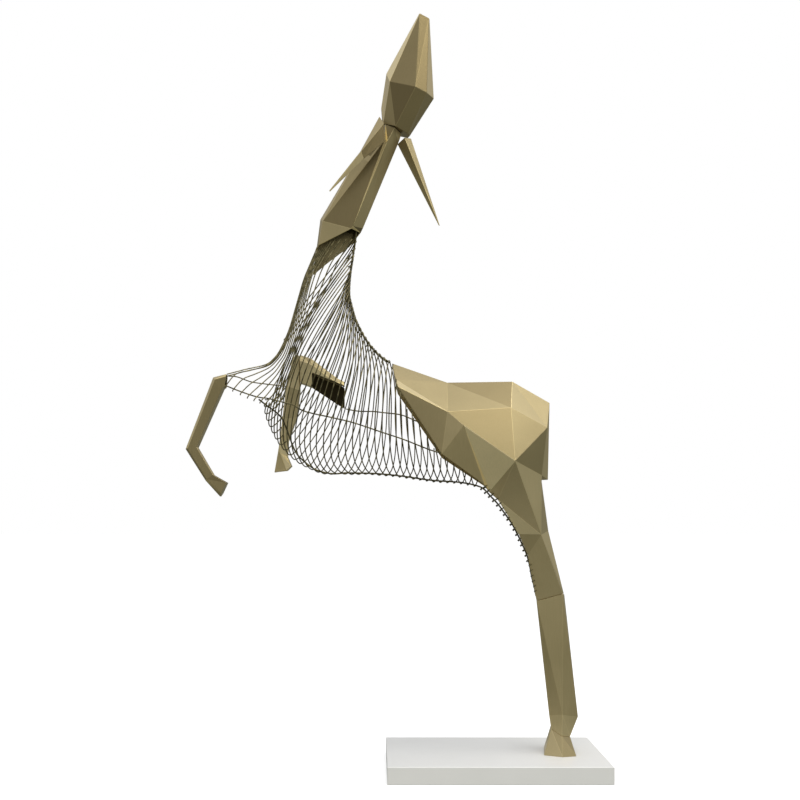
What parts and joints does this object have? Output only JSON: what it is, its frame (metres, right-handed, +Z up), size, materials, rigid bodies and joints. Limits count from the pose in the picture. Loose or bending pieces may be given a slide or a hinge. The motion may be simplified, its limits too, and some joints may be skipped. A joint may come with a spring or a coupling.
{
  "type": "deer sculpture",
  "caption": "Rearing doe folded from brass-coloured sheet, with a body cage of bent rods, balanced on a hind leg on a thin white plinth.",
  "frame": {"origin": "centre of the plinth's underside", "axes": "+Z up, +X from the head end towards the tail and the hind leg, +Y across the animal, away from the side that the picture shows"},
  "size_m": [1.264, 0.42, 2.331],
  "materials": {
    "plinth": "satin white paint",
    "plates": "satin, brushed",
    "wires": "satin, darkened"
  },
  "bodies": {
    "root": {"ear_left": "plates", "ear_right": "plates", "flank_rod_far": "wires", "flank_rod_near": "wires", "folded_cannon": "plates", "folded_forearm": "plates", "head": "plates", "hind_hoof": "plates", "hind_shank": "plates", "hindquarters": "plates", "keel_rod": "wires", "neck": "plates", "plinth": "plinth", "raised_foreleg": "plates", "rib_01": "wires", "rib_02": "wires", "rib_03": "wires", "rib_04": "wires", "rib_05": "wires", "rib_06": "wires", "rib_07": "wires", "rib_08": "wires", "rib_09": "wires", "rib_10": "wires", "rib_11": "wires", "rib_12": "wires", "rib_13": "wires", "rib_14": "wires", "rib_15": "wires", "rib_16": "wires", "rib_17": "wires", "rib_18": "wires", "rib_19": "wires", "rib_20": "wires", "rib_21": "wires", "rib_22": "wires", "rib_23": "wires", "rib_24": "wires", "rib_25": "wires", "rib_26": "wires", "rib_27": "wires", "rib_28": "wires", "rib_29": "wires", "rib_30": "wires", "rib_31": "wires", "rib_32": "wires", "rib_33": "wires", "rib_34": "wires", "rib_35": "wires", "rib_36": "wires", "rib_37": "wires", "shoulder_wire_1": "wires", "shoulder_wire_2": "wires", "shoulder_wire_3": "wires", "shoulder_wire_4": "wires", "shoulder_wire_5": "wires", "spine_rod_far": "wires", "spine_rod_near": "wires", "throat_rod_far": "wires", "throat_rod_near": "wires"}
  },
  "joints": []
}
